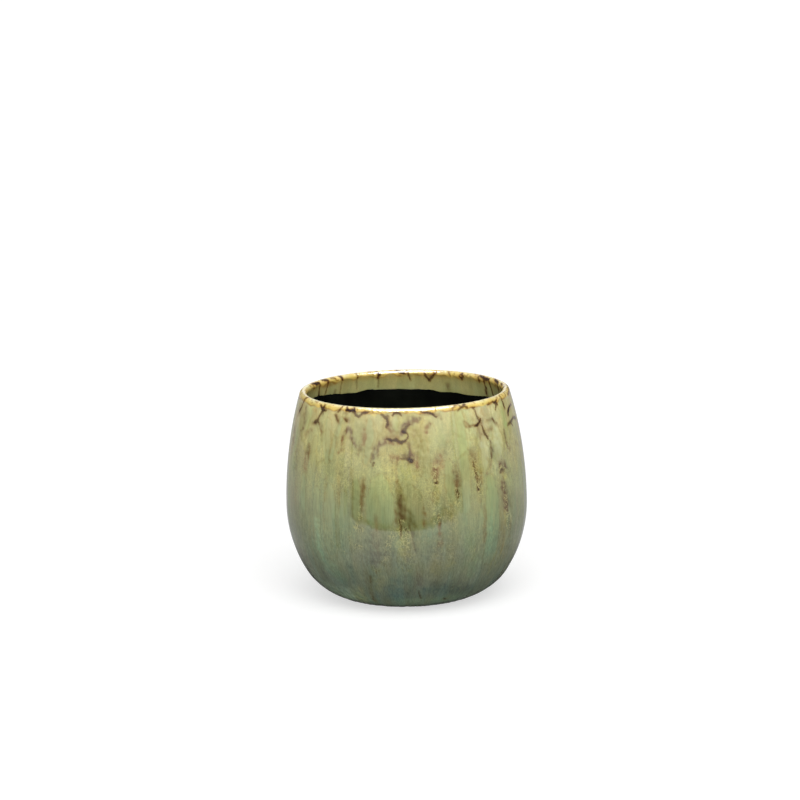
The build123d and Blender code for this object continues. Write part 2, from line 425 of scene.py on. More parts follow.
# Brushed patches: a paint, its strength, and points as in the washes.
PATCHES = (
    (BARK, 0.35, (-76, 10, 1.6), (-73, 11.5, 1.6)),
    (PLUM, 0.45, (-76, 22, 2), (-75, 29, 2.5)),
    ((0.86, 0.84, 0.80), 1.0, (-66.5, 23, 2), (-67, 42, 2.4)),
    (BARK, 0.5, (-65.5, 7, 1.4), (-64.5, 11, 2), (-63.5, 15, 2), (-63.8, 18.5, 1.2)),
    (BARK, 0.45, (-64, 19.2, 0.7), (-66.5, 21, 0.6)),
    (OLIVER, 0.8, (-69, 20, 2.6), (-68, 42, 3)),
    (FAWN, 0.5, (-60.5, 21.5, 1.4), (-58.5, 20.5, 1.4), (-55.5, 18.5, 1.2)),
    (FAWN, 0.6, (-55.2, 27.5, 1.2), (-55.6, 31, 2), (-56, 34, 2), (-57, 41, 1.6)),
    (PLUM, 0.4, (-55.4, 29.5, 0.9), (-55.8, 33, 1)),
    (PLUM, 0.7, (-55, 13.5, 0.8), (-52, 13.4, 1.2), (-50.8, 14, 1)),
    (FAWN, 0.85, (-48.8, 13.6, 0.9), (-47.4, 16, 1.2), (-46.8, 18, 0.7)),
    (DARKER, 0.5, (-41, 29, 1.4), (-40, 36, 1.8), (-39.5, 42, 1.2)),
    ((140, 108, 72), 0.8, (-30.2, 12.8, 0.6), (-30.9, 14.6, 0.6), (-31.8, 16.8, 1), (-32.4, 19, 0.7),
     (-33.6, 24, 0.5)),
    (MAUVE, 0.85, (-30, 13.2, 1.1), (-28.5, 16, 1.1), (-27, 19, 1), (-25.6, 23, 0.8)),
    (PLUM, 0.7, (-30.6, 14.6, 0.4), (-31.5, 17, 0.8)),
    (PLUM, 0.5, (-29.6, 14, 0.5), (-28, 17, 0.5)),
    (FAWN, 0.8, (-31.8, 8, 1.2), (-31, 8.8, 1.5), (-30.6, 9.8, 0.8)),
    (FAWN, 0.7, (-38, 7.4, 1), (-36.4, 9.8, 1.2), (-35.6, 11, 0.9)),
    (FAWN, 0.6, (-34.6, 28.4, 0.7), (-32.6, 26, 1), (-32.4, 23, 0.8)),
    (BARK, 0.5, (-23.2, 27.5, 0.6), (-23, 28.5, 0.6)),
    (BARK, 0.5, (-24.6, 23.6, 0.8), (-22.6, 24.6, 0.8), (-22.2, 25.5, 0.6)),
    (FAWN, 0.9, (-21.2, 14, 0.9), (-20.9, 17, 1.2), (-21.4, 22, 0.9)),
    (PALER, 1.0, (-61, 4.6, 2), (-57, 5, 1.4)),
    (PALER, 0.7, (-40.4, 4.6, 1.1), (-39.6, 5.4, 0.9)),
    (PALER, 1.0, (-50.6, 6.6, 0.9), (-50.2, 8.2, 1)),
    (PALER, 0.7, (-48.2, 18.4, 1.1), (-47.8, 21.4, 1.1)),
    (PALER, 0.6, (-61.4, 22, 1.7), (-61.4, 28, 1.7)),
    (PALER, 0.7, (1.6, 36.4, 1.8), (2.8, 39.2, 1.8)),
    (PALER, 0.85, (38.2, 6.2, 1.3), (38.7, 8.4, 1.2)),
    (BARK, 0.35, (15, 4.8, 0.8), (16, 5.4, 0.8)),
    (BARK, 0.3, (4.6, 31, 1.1), (5.4, 33, 1)),
    (HONEY, 0.5, (-17, 4.7, 0.8), (-15.6, 4.7, 0.8)),
    (PALER, 0.9, (59.6, 5, 1), (60.2, 7.4, 1.1)),
    (PALER, 0.6, (16.2, 12.8, 1.2), (17.3, 19, 1.5)),
    (PALER, 0.8, (49.4, 18.6, 1.1), (48.4, 21.4, 1.3), (48.6, 25.6, 1.3)),
    (PALER, 0.9, (46.2, 39, 1.4), (46.6, 43.8, 1.4)),
    (MAUVE, 1.0, (-8.2, 19.8, 1.5), (-9.6, 19.8, 1.5), (-12, 20.6, 1.4)),
    ((0.90, 0.87, 0.82), 1.0, (-12.6, 17, 1.6), (-14.4, 21, 1.4)),
    (PLUM, 0.65, (-12.5, 22, 1.1), (-14, 24.5, 1.4), (-15.2, 28, 1.6), (-16.3, 30.5, 1),
     (-16.5, 31.5, 0.7)),
    (BARK, 0.6, (0.4, 20.8, 0.8), (1.9, 22.1, 1.1), (2.3, 24.5, 1)),
    (PLUM, 0.5, (1.9, 24.6, 0.5), (2.4, 27, 0.9)),
    (FAWN, 0.85, (4.4, 30.4, 1.2), (5.5, 35, 1)),
    (PLUM, 1.0, (2.4, 27.2, 1.1), (2.9, 29.1, 2.1), (3.4, 30.6, 0.7)),
    (PLUM, 0.55, (-2.2, 28.2, 1), (0.5, 28.6, 1.3)),
    (FAWN, 0.75, (-6.4, 29, 1.7), (-5, 30.8, 1.7), (-3.4, 29.4, 1.4)),
    (MAUVE, 1.0, (7, 7, 0.8), (5.4, 7.5, 1.5), (3.3, 8.2, 1.9), (1.4, 9.6, 1.5), (0, 11.2, 1.4),
     (-1.6, 13, 1.2), (-2.4, 16.5, 1)),
    (FAWN, 0.9, (12.2, 10.6, 0.8), (11.4, 12, 1.3), (10.9, 13.6, 1.2), (11.2, 15.4, 0.8)),
    (FAWN, 0.55, (8.4, 4.6, 0.7), (12, 5.2, 0.8)),
    (FAWN, 0.6, (17.8, 6, 0.9), (18.8, 7.8, 0.9)),
    (FAWN, 0.7, (-7.6, 20.8, 0.7), (-5.6, 21.4, 0.9), (-3.4, 21.4, 0.8)),
    (FAWN, 0.4, (-2.4, 4.7, 0.7), (-0.6, 5, 0.7)),
    ((0.90, 0.90, 0.90), 1.0, (19.8, 5, 2.4), (19.8, 17.4, 2.2)),
    ((0.90, 0.88, 0.88), 1.0, (-59.5, 33, 1.8), (-59, 40, 1.8)),
    (BARK, 0.3, (35.6, 27, 1.2), (36.2, 38, 1.2), (35.6, 49, 1)),
    (BARK, 0.6, (-48.5, 6, 0.7), (-48.1, 7.6, 0.6)),
    ((100, 96, 56), 0.5, (1.2, 61, 1.2), (2.2, 66, 1.7), (3.6, 69.4, 1.1)),
    (FAWN, 0.9, (-7.9, 9.6, 1), (-7.5, 12, 1.5), (-6.2, 14.5, 1.4)),
    (BARK, 0.3, (-8.3, 10.2, 0.7), (-8.2, 12.2, 0.8)),
    (FAWN, 0.5, (-33.8, 4.6, 0.8), (-32.2, 5.2, 0.8)),
    (FAWN, 0.45, (3.6, 9.4, 1), (5.8, 8.8, 1)),
    (BARK, 0.3, (1.4, 9, 1), (3.2, 8.2, 1.2)),
    (FAWN, 0.55, (-9.4, 17.4, 0.9), (-7, 17.4, 0.9), (-4.5, 17.4, 0.9), (-3, 18.6, 0.9)),
    (BROWNER, 1.0, (45.4, 6.6, 1.4), (47, 8.6, 1.5)),
    (BROWNER, 0.9, (-56.6, 6.4, 1.1), (-55, 6.4, 1.1)),
    (FAWN, 0.5, (40.4, 15.8, 1.6), (40.2, 19, 1.7), (40.2, 22, 1)),
    (PLUM, 0.8, (46, 25.5, 0.5), (46.2, 28, 0.9), (46.4, 31, 1.2), (46, 34.5, 0.7)),
    (FAWN, 0.5, (45.4, 36, 0.7), (44, 40, 0.8), (41.8, 43, 0.6)),
    (BARK, 0.45, (47, 13.4, 0.8), (50.3, 12.8, 0.9)),
    (BARK, 0.8, (50.8, 13.2, 0.9), (52.8, 15.8, 1)),
    (BARK, 0.45, (40.8, 14.6, 0.8), (42.8, 13.6, 0.9), (43.6, 12, 1)),
    (FAWN, 0.4, (53.5, 16.3, 0.7), (55.2, 18, 0.7)),
    (FAWN, 0.3, (-46.6, 20, 0.8), (-46.2, 22.6, 0.8)),
    (FAWN, 0.6, (46.6, 18.6, 1.1), (49, 18.2, 1.1)),
    (BARK, 0.6, (59, 21.5, 0.7), (59.2, 25.5, 0.9), (59.8, 28.5, 1.1), (60.8, 32, 1.2), (61.6, 34, 0.8)),
    (OLIVER, 0.8, (63.5, 20, 1.4), (64, 30, 1.6)),
    (FAWN, 0.9, (31.6, 11.8, 0.9), (33, 13.5, 1.1), (34.5, 14.6, 0.8), (37, 14.2, 0.5)),
    (OLIVER, 0.7, (37.6, 22, 0.9), (37.9, 42, 0.9)),
    (RUST, 0.35, (23.8, 35, 1.2), (24, 41, 2), (24.3, 47, 2)),
    (RUST, 0.55, (24.2, 40, 0.8), (24.4, 46, 1.5), (24.4, 49, 0.6)),
    (GOLDEN, 0.4, (23.2, 56, 2), (22.4, 64, 2.6)),
    (BARK, 0.45, (33.2, 27.5, 1.2), (33.6, 31, 1.8), (34, 35, 1.6)),
    (RUST, 0.35, (33.4, 30, 0.8), (34, 36, 0.9), (34.8, 42, 0.8)),
    (GOLDEN, 0.6, (34.8, 38, 1.8), (36.2, 46, 1.8)),
    (BARK, 0.35, (36.2, 54, 0.6), (36.6, 62, 0.6)),
    (BARK, 0.4, (14.8, 28, 0.8), (14.6, 33, 1.1)),
    (FAWN, 0.9, (14, 33.6, 1.3), (13.9, 39, 1.7), (13.7, 42, 1.3)),
    (BARK, 0.8, (13.8, 36.5, 0.8), (13.9, 40, 1), (13.8, 42, 0.6)),
    (FAWN, 0.6, (16.9, 30, 1), (17.3, 35.8, 1)),
    (BARK, 0.6, (52, 44.9, 0.8), (53.6, 45.4, 0.8)),
    (PLUM, 0.9, (50.8, 41.4, 0.9), (52.4, 39.8, 1.6), (54.2, 40.2, 1.9), (56, 42.6, 1)),
    (BARK, 0.6, (37.5, 42.6, 0.9), (37.2, 45, 1.2), (37, 48.5, 0.8)),
    (GOLDEN, 0.9, (52.6, 46, 1.2), (54.6, 48, 1.4)),
    (BARK, 0.3, (-20.2, 42, 1), (-20.6, 50, 1.5), (-21.2, 60, 1.2)),
    (RUST, 0.35, (-20.5, 45, 0.5), (-20.8, 52, 0.7), (-21.3, 59, 0.4)),
    (FAWN, 0.45, (-4.6, 36, 0.6), (-4.4, 46, 0.8)),
    ((0.85, 0.82, 0.70), 1.0, (-3.8, 43, 0.9), (-3, 51, 2), (-1.6, 57, 3.2), (-0.8, 64, 3.8)),
    ((94, 70, 44), 0.75, (-3.2, 51, 0.9), (-2.6, 56, 1.8), (-2.2, 60.5, 2.3), (-2.2, 63.6, 1.9)),
    ((0.84, 0.82, 0.76), 1.0, (1.4, 66, 1.4), (1.8, 71, 1.2), (1.9, 79, 0.9)),
    (BARK, 0.5, (-4.9, 60, 0.4), (-5, 70, 0.4)),
    (GOLDEN, 1.0, (-3.4, 70.4, 1.2), (-3.6, 80, 1.7), (-3, 89, 2.3)),
    (GOLDEN, 1.0, (-1.2, 75, 1.4), (-1, 86, 2.4)),
    (UMBER, 0.5, (0.2, 67, 0.5), (1.8, 71, 0.6), (2.6, 77, 0.6), (3.4, 84, 0.4)),
    (CREAM, 0.3, (0.6, 72, 0.5), (2, 76, 0.5), (2.7, 81, 0.5), (2.6, 85, 0.4)),
    (DARKER, 0.85, (3.2, 73, 0.9), (3.4, 84, 1.1)),
    (BARK, 0.5, (-14.5, 63, 0.8), (-13.6, 68, 1.1), (-14, 71, 0.8)),
    (BARK, 0.75, (14.4, 63, 0.9), (15, 72, 0.8)),
    (BARK, 0.65, (15.1, 70, 0.5), (15.2, 81, 0.9)),
    (BROWNER, 1.0, (14.9, 74, 1.5), (15, 84, 1.5)),
    ((0.90, 0.89, 0.86), 1.0, (14.8, 76, 1.6), (14.8, 82, 1.6)),
    (BARK, 0.5, (7.9, 58, 0.5), (7.9, 69, 0.6)),
    (BARK, 0.35, (38.4, 62, 0.7), (38.6, 84, 0.8)),
    (OLIVER, 0.8, (16.8, 59.6, 1), (19, 61.6, 1.2), (21.2, 65.6, 1.8)),
    ((1.06, 1.16, 1.20), 1.0, (-46.5, 70, 1.6), (-47.2, 88, 2)),
    (PLUM, 0.85, (52.3, 47.5, 0.8), (52.4, 53, 2), (53, 60, 2.2), (53.8, 66, 2.2)),
    ((0.84, 0.80, 0.79), 1.0, (52.2, 50, 2.2), (53.4, 60, 3), (55.5, 67, 2.6)),
    ((0.88, 0.84, 0.82), 1.0, (56.4, 43, 1.6), (57.6, 46, 1.6)),
    ((0.88, 0.86, 0.84), 1.0, (58, 60, 2), (57.6, 72, 1.8), (56.6, 80, 1.9)),
    (PLUM, 0.6, (52, 61, 0.8), (53.5, 66, 1), (55, 69, 0.9)),
    (GOLDEN, 0.9, (52.6, 69, 1), (53.2, 74, 1.1)),
    (CREAM, 0.4, (56, 68, 0.6), (58, 75, 0.6)),
    ((152, 152, 104), 0.3, (56.4, 76, 0.8), (54, 88, 0.9), (51, 98, 1), (47, 108, 0.8)),
    ((152, 152, 104), 0.3, (50.4, 82, 0.7), (48.4, 92, 1), (45.6, 103, 0.8)),
    (BROWNER, 1.0, (52, 76, 1.4), (52, 92, 1.4)),
    (BROWNER, 0.9, (57, 75, 1.2), (57.5, 85, 1.2)),
    (GREENER, 0.9, (-50, 88, 3.5), (-44, 98, 4.5), (-38, 106, 3.5)),
    (GOLDEN, 0.6, (-10, 90, 2.5), (-14, 98, 2), (-17, 96, 1.6)),
    (GOLDEN, 0.6, (20, 84, 1.8), (21, 94, 2.2)),
    (GOLDEN, 0.5, (32, 86, 1.5), (34, 94, 1.5)),
    (OLIVER, 0.6, (-18, 104, 2), (-20, 112, 2)),
    (GOLDEN, 0.5, (-13, 104, 2), (-16, 112, 2)),
    (PURPLER, 1.0, (5, 97, 2), (6, 108, 2)),
    (GREENER, 0.8, (36, 92, 2.4), (34, 104, 3)),
    (BLUER, 1.0, (-9, 106, 3), (-6, 118, 4)),
    (DARKER, 0.5, (-9, 110, 2.4), (1, 114, 2.4)),
    (DARKER, 0.7, (14, 109, 2.4), (24, 114, 3.6), (34, 118, 3)),
    (DARKER, 0.5, (46, 115, 2), (48, 117, 2)),
    (BROWNER, 0.7, (49.6, 5.4, 1.2), (50.4, 6, 1.2)),
    (BARK, 0.3, (-8.4, 19.8, 1.2), (-10, 20, 1.1)),
    (BLUER, 0.8, (10, 112, 3), (26, 118, 4)),
    (GOLDEN, 0.8, (-28, 114, 2.6), (-30, 126, 3)),
    (PALER, 0.9, (-38, 117, 3.4), (-40, 126, 3.6)),
    (BROWNER, 1.0, (-21, 114, 1.2), (-21.5, 127, 1.3)),
    (DARKER, 0.8, (-54, 112, 2.6), (-56, 122, 3)),
    (AMBER, 0.5, (236, -5, 1.2), (226, -5, 1.2)),
    (AMBER, 0.45, (-58.5, 0.6, 0.5), (-58, 3, 0.5)),
)

# Tongues of glaze with a soft brown line round them: a tint, and points as above.
TONGUES = (
    ((1.14, 1.14, 1.19), (41.4, 22.5, 1.8), (41.9, 30, 3.1), (41.2, 37, 2.2), (40.6, 42, 0.8)),
    ((1.11, 1.12, 1.15), (51.7, 18.5, 2.8), (52.6, 27, 5.4), (50.8, 36, 2.2)),
    ((0.93, 1.00, 1.04), (-18.4, 9, 1.4), (-17.8, 18, 2.6), (-18.6, 27, 1.8), (-19.6, 33, 0.8)),
    ((0.97, 1.00, 0.99), (8.4, 22, 2.2), (8.8, 32, 3.4), (10, 40, 2)),
    ((0.99, 1.03, 1.08), (-5.4, 5.5, 1.2), (-5.2, 9, 2), (-4.4, 13, 1.4)),
    ((0.91, 0.98, 1.02), (-34.5, 9, 1.2), (-36.5, 18, 1.8), (-39, 32, 1.4)),
    ((0.97, 1.01, 1.02), (-43.4, 12, 2.4), (-42.8, 24, 3.2), (-41.4, 34, 1.6)),
    ((0.96, 1.01, 1.01), (29.2, 6, 2.4), (29, 24, 3.2), (28.8, 46, 3.2), (28.6, 62, 2.4)),
    ((0.97, 1.02, 1.00), (62.5, 7, 2), (62, 18, 2.4)),
    ((0.96, 0.98, 1.01), (46.4, 6, 1.8), (47, 10, 2.2)),
    ((0.93, 0.92, 0.86), (0.2, 45, 2.6), (1.2, 53, 6.8), (1.6, 62, 8), (1.6, 68, 7.6)),
    ((0.96, 1.01, 0.97), (-12.4, 44, 5), (-12.4, 54, 7.8), (-12.4, 63, 8.4)),
    ((0.88, 0.83, 0.74), (-3.9, 43, 0.8), (-3.3, 51, 1.8), (-2.7, 59, 2.6), (-2.3, 66, 2.8)),
    ((0.80, 0.78, 0.68), (-26.8, 37, 0.5), (-26.4, 46, 1.1), (-26.4, 57, 1.1), (-26, 64, 0.6)),
    ((0.94, 1.01, 0.93), (-23.8, 44, 1.8), (-23.8, 52, 2.4), (-23.6, 64, 2.2)),
    ((0.86, 0.77, 0.66), (-20.3, 43, 0.5), (-20.7, 50, 1.1), (-21.2, 57, 0.6)),
    ((0.97, 1.01, 0.97), (20.4, 34, 1.8), (20.6, 46, 2.8), (21, 56, 2.2)),
    ((1.05, 1.10, 1.06), (43.4, 47, 2.6), (43.7, 58, 5), (43.8, 94, 5.2)),
    ((1.03, 1.08, 1.10), (-38.4, 50, 3), (-38.5, 62, 4.2), (-38.5, 86, 4.2)),
    ((1.03, 1.05, 1.06), (-30.4, 52, 2), (-30.4, 60, 3), (-30.4, 84, 3.2)),
    ((1.03, 1.05, 1.04), (-46.6, 52, 2), (-46.8, 62, 3), (-47, 84, 3)),
    ((1.00, 1.03, 1.05), (-57.5, 46, 2), (-57.5, 66, 2.8)),
    ((1.03, 1.00, 0.96), (-51, 23, 2), (-50.4, 32, 3), (-50, 40, 1.6)),
)

# Iron veins: how dark, then points of degrees round, mm down from the crest and half width in mm. Those
# below zero are inside.
VEINS = (
    (0.5, (-67.6, -0.8, 0.4), (-68.8, 1.6, 0.9), (-70, 4, 0.6), (-71.6, 7, 0.5), (-73, 9.5, 0.7),
     (-74.3, 11, 0.9)),
    (0.8, (-51.2, 2.6, 0.5), (-50, 3.8, 0.6), (-48.8, 5, 1), (-48, 2.6, 0.5)),
    (0.8, (-48.8, 5, 0.9), (-47.2, 5, 0.6), (-45.8, 5.2, 0.2)),
    (0.6, (-48.8, 5.5, 0.8), (-49.2, 7, 0.6), (-50.5, 9, 0.45), (-51, 11, 0.5), (-51.5, 12.5, 0.8)),
    (0.5, (-54.2, 13.2, 0.4), (-52.9, 12.7, 0.9), (-51.4, 12.9, 0.7), (-50.6, 13.3, 0.3)),
    (0.6, (-35, -0.3, 0.6), (-35.5, 1.5, 0.4), (-36.5, 3.5, 0.4), (-37.5, 5, 0.3)),
    (0.35, (-38.8, 6.8, 0.5), (-38.2, 8.2, 0.3), (-37, 10, 0.5)),
    (0.5, (-32.3, 8.3, 0.3), (-31.6, 8.5, 0.8), (-31.2, 9.2, 0.4)),
    (1, (-33, 3.6, 0.4), (-31.8, 3, 0.9), (-30.5, 3.4, 0.7), (-28.2, 3.2, 1.1), (-27.3, 3.9, 0.6)),
    (0.8, (-32, 2.6, 0.7), (-32.3, 1, 0.3)),
    (0.8, (-28, 2.6, 0.6), (-28, 1.6, 0.5)),
    (0.55, (-28.2, 4.4, 0.7), (-27, 4.8, 0.5), (-25.8, 6.1, 0.7), (-24.6, 6.6, 0.8), (-23.6, 5.4, 0.5),
     (-22.8, 4.3, 0.6)),
    (0.75, (-22.8, 4.2, 0.7), (-21.8, 3.6, 0.8), (-20.3, 3.6, 0.5), (-18.8, 3.3, 0.2)),
    (0.5, (-12.2, 4.4, 0.4), (-11, 5.8, 0.6), (-10.1, 6.6, 1)),
    (0.65, (-10, 6.6, 1), (-9.2, 8.3, 0.6), (-8.7, 10.2, 0.5), (-9.2, 12, 0.3)),
    (0.45, (-10, 6.5, 0.7), (-8.9, 5.4, 0.4)),
    (0.65, (-6.6, 4.8, 0.3), (-5.6, 3.8, 0.5), (-4, 3.5, 0.6), (-2.8, 4.1, 0.5), (-2, 5.2, 0.25)),
    (0.45, (2.5, 10.4, 0.3), (0.8, 11.8, 0.5), (-0.3, 13.2, 0.6)),
    (0.85, (-1.4, 14.2, 0.6), (-0.4, 14.4, 0.8)),
    (0.65, (0, 14.8, 0.4), (1.1, 15.9, 0.4), (1.2, 17, 0.35), (0.4, 18.6, 0.4)),
    (0.7, (-9.6, 18.5, 0.5), (-8.3, 18.9, 0.8), (-6.8, 19.6, 0.6), (-4.9, 18.9, 0.9), (-3.3, 20, 0.6),
     (-1.8, 20.6, 0.7), (0, 19.5, 0.6)),
    (0.9, (0.6, 29.9, 0.4), (1.5, 30.1, 0.9), (2.1, 30.6, 1.1), (2.1, 32.2, 0.4)),
    (0.45, (0.6, 30.1, 0.4), (-0.9, 30.1, 0.3), (-2.2, 29.6, 0.2)),
    (0.55, (-15.2, 32.4, 0.4), (-16, 34, 0.4)),
    (0.75, (9, 3.5, 0.4), (11, 4, 0.5), (13, 4.1, 0.5), (14.8, 5, 0.6), (16.4, 6.8, 0.3)),
    (0.45, (25.8, 3.4, 0.3), (27.5, 1.4, 0.5), (29, 0.3, 0.5)),
    (0.5, (29, 4.6, 0.3), (30.6, 2.8, 0.5), (30.2, 0.4, 0.5)),
    (0.7, (30.8, 2.6, 0.6), (32.5, 2.4, 0.6), (33.8, 1.2, 0.5)),
    (0.6, (33.3, 2.4, 0.5), (34.8, 3.5, 0.5)),
    (0.6, (37.8, 4.2, 0.4), (38.8, 4.6, 0.6), (39.6, 4.2, 0.4)),
    (0.45, (39.4, 5, 0.2), (40.1, 7.5, 0.3), (40.5, 9.4, 0.6), (40.9, 11.6, 0.5)),
    (0.9, (37.8, 14.4, 0.5), (39.2, 14.4, 0.9), (40.6, 13.4, 0.6), (41.6, 12.6, 0.7), (42, 11.4, 0.3)),
    (0.6, (42.5, 15.6, 0.4), (42.9, 18, 0.5), (43.7, 20.6, 0.7), (44.7, 22.5, 0.7), (45.3, 24, 0.3)),
    (0.7, (50, 4.3, 0.3), (51.2, 3.6, 0.3), (53.5, 3.5, 0.2), (55.5, 3.5, 0.4)),
    (0.85, (55.8, 4, 0.6), (57.1, 4.2, 0.9), (58.4, 3.3, 0.5)),
    (0.7, (57.5, 4.6, 0.9), (58.4, 6, 0.4)),
    (0.65, (57.2, 4.8, 1), (56.2, 7, 0.6), (55.5, 8.6, 0.3)),
    (0.7, (64.2, 4.6, 0.4), (65, 7.2, 0.9), (65.6, 9.5, 0.4)),
    (0.7, (50.6, 44.6, 0.4), (51.6, 43.7, 0.6), (53, 43.6, 0.5), (53.8, 44.4, 0.5)),
    (0.7, (13.8, 44.2, 0.6), (14.1, 44.6, 0.6)),
    (0.9, (35.6, 50.6, 0.5), (35.8, 51.8, 0.5)),
    (0.4, (33.9, 36.5, 0.3), (34.2, 40, 0.4), (34.9, 45, 0.35), (36.2, 49, 0.2)),
    (0.3, (34.4, 41, 0.2), (35.6, 43.5, 0.25), (36.4, 47, 0.2)),
    (0.85, (24.2, 50, 0.2), (24.4, 52.5, 0.45), (24.3, 55, 0.2)),
    (0.6, (-3.4, 65.5, 0.3), (-2.8, 68, 0.4), (-2.6, 70.2, 0.4), (-2.9, 72.5, 0.3), (-3.4, 75.8, 0.2)),
    (0.3, (-0.9, 69.6, 0.2), (-0.2, 71, 0.3), (0.5, 73, 0.25)),
    (0.6, (64.6, 19.6, 0.3), (67, 19, 0.6), (69, 18.8, 0.8), (70.4, 20.8, 0.4)),
    (0.7, (70, 19, 0.6), (72, 17.6, 0.6), (74.5, 17.2, 0.6), (77.5, 18, 0.7), (80, 19, 0.6)),
    (0.8, (67.6, 14.5, 0.5), (68.6, 12.5, 1), (70.6, 11.4, 1.2), (73, 10, 0.6), (78, 9.2, 0.4)),
    (0.3, (-19.2, 102, 0.15), (-19.6, 107, 0.15)),
    (0.15, (-15.6, 97, 0.2), (-16, 99, 0.2)),
    (0.35, (5.8, 113, 0.1), (6.6, 117, 0.35), (7.4, 120.5, 0.35)),
    (0.2, (-21, 119, 0.3), (-22, 125, 0.3)),
    (0.5, (22, 122.5, 0.5), (23.6, 124.5, 0.6)),
    (0.9, (248.4, -1.2, 0.8), (245.4, -2.2, 1.1), (241.6, -2.4, 0.9)),
    (0.8, (241.3, -3.2, 0.5), (241, -7, 0.35), (240.5, -10, 0.5), (240.2, -11.5, 0.4)),
    (0.85, (237, -1, 0.7), (234.5, -1.8, 1), (232.2, -2.6, 0.8)),
    (0.55, (232.2, -3, 0.6), (233, -8, 0.35), (234, -12, 0.25)),
    (0.6, (229, -1.2, 0.5), (226, -2, 0.5)),
    (0.85, (222.5, -0.8, 0.5), (221, -2, 0.8), (220.2, -4.2, 0.5)),
    (0.35, (220.6, -5, 0.3), (221, -13.5, 0.25)),
    (0.6, (209.8, 0, 0.4), (209.4, -4, 0.45)),
    (0.2, (209.3, -5, 0.25), (209.3, -12, 0.2)),
    (0.5, (202, -0.8, 0.4), (200.8, -1.2, 0.4)),
    (0.9, (196.3, -1.8, 0.8), (195.6, -3.6, 0.7), (195.9, -6, 0.5)),
    (0.25, (195.6, -7, 0.25), (195.6, -12, 0.2)),
    (0.85, (184.5, -1, 0.5), (182, -2.4, 0.9), (180, -3.2, 0.7)),
    (0.75, (178, -1.6, 0.5), (177.3, -4, 0.45), (176.4, -7.8, 0.4)),
    (0.8, (167.8, -2, 0.5), (167, -4, 0.45), (165, -8, 0.55), (161.6, -4, 0.45), (160.4, -2.4, 0.4)),
    (0.8, (143, -1.8, 0.5), (144.4, -3.8, 0.4), (143, -5.8, 0.5), (141.6, -3.8, 0.4), (143, -1.8, 0.5)),
    (0.7, (129, -1.8, 0.4), (128.6, -5, 0.45)),
    (0.85, (125.5, -1.4, 0.7), (123.6, -2.6, 0.7)),
    (0.7, (124, -3, 0.5), (123.8, -9, 0.4), (124.4, -13.5, 0.4)),
    (0.55, (105.5, -2, 0.4), (105, -6, 0.4)),
    (0.5, (249.8, 1.2, 0.3), (249.2, -5, 0.35)),
    (0.5, (270, -1, 0.3), (268, -4, 0.3)),
    (0.5, (72.5, -1, 0.35), (71, 3.5, 0.4)),
    (0.6, (87, 1.2, 0.5), (80, 3.2, 0.6), (76, 3.6, 0.5)),
    (0.5, (64, 1.4, 0.3), (65.3, 3.8, 0.3)),
)

# Lace: how strong the fine gold crystals are, and where, as degrees round, mm down and half width in mm.
CRYSTALS = (
    (0.5, (23, 23, 2), (22.5, 33, 2)),
    (0.45, (-30, 25, 4), (-31, 44, 6)),
    (0.45, (-8, 30, 5), (-8, 42, 8)),
    (0.45, (5, 38, 6), (7, 48, 6)),
    (0.9, (13.4, 36, 1.2), (13.8, 46, 1.6)),
    (0.7, (12, 50, 2.4), (14, 66, 2.6)),
    (0.45, (20, 54, 2), (20, 64, 2.6)),
    (1, (24.2, 49, 1.2), (24.3, 58, 1.4)),
    (0.35, (23, 58, 2), (21, 74, 3)),
    (1, (34.2, 35, 1.3), (35.2, 44, 1.9), (36.4, 54, 1.7)),
    (1, (50.6, 42, 1), (52.5, 42.6, 1.6), (54.4, 45, 1)),
    (0.9, (53, 54, 1.2), (53.6, 64, 1.6), (55.5, 78, 2)),
    (1, (60.2, 28, 0.7), (61.4, 35, 0.8)),
    (1, (-2.4, 67.5, 1.4), (-1.8, 72, 2.4), (-1.4, 80, 3.4)),
    (0.8, (-6, 72, 1.4), (-9, 82, 1.8), (-11, 92, 1.8)),
    (0.7, (0, 82, 3), (-1, 94, 4)),
    (0.9, (-21.4, 57, 0.8), (-22, 66, 0.9)),
    (1, (-24.4, 70, 1.3), (-21.8, 72, 1.5)),
    (0.9, (-25, 82, 1), (-22.4, 82.6, 1.2)),
    (0.5, (-28, 76, 0.9), (-27.4, 84, 0.9)),
    (0.7, (-31.4, 85, 1), (-30.6, 88, 1)),
    (1, (-17.4, 95.6, 1.5), (-15, 98, 1.7)),
    (0.6, (-15, 102, 2), (-16, 110, 2.4)),
    (0.5, (14, 82, 3), (14, 98, 3)),
    (0.5, (21, 84, 2.6), (22, 98, 2.6)),
    (0.6, (33, 84, 1.6), (31.6, 94, 1.8)),
    (0.5, (50, 84, 1), (48.6, 94, 1.4), (45, 106, 1.4)),
    (0.3, (-37, 78, 2.4), (-37, 96, 3)),
)


# The far side's runs are spread wider than the front's, and are bent by a wave that closes round the pot.
SPREAD, BEND_WAVES, BEND_START = 1.22, 3, 50


def both(line):
    """A line, and its like on the far side, which stands at another height and is thicker or thinner."""
    moved = []
    for around, down, half in line:
        bend = math.sin(math.radians(BEND_WAVES * around + BEND_START))
        behind = 180 + SPREAD * around + 5 * bend
        moved.append((behind, down * (1 + 0.1 * bend), half * (1.1 - 0.15 * bend)))
    return line, moved


def ripple(seed, length, waves=28):
    """Seeded smooth unevenness over the whole wall, with hills about length mm apart."""
    chance = np.random.default_rng(seed)
    total = np.zeros(runs.shape)
    for _ in range(waves):
        aim, size = chance.uniform(0, math.tau), chance.uniform(0.6, 1.6) * length
        around = round(math.tau * BELLY_R / MM * math.cos(aim) / size)
        phase = chance.uniform(0, math.tau)
        total += np.cos(np.radians(around * WIDE) + math.tau * DEEP * math.sin(aim) / size + phase)
    return total / math.sqrt(waves / 2)


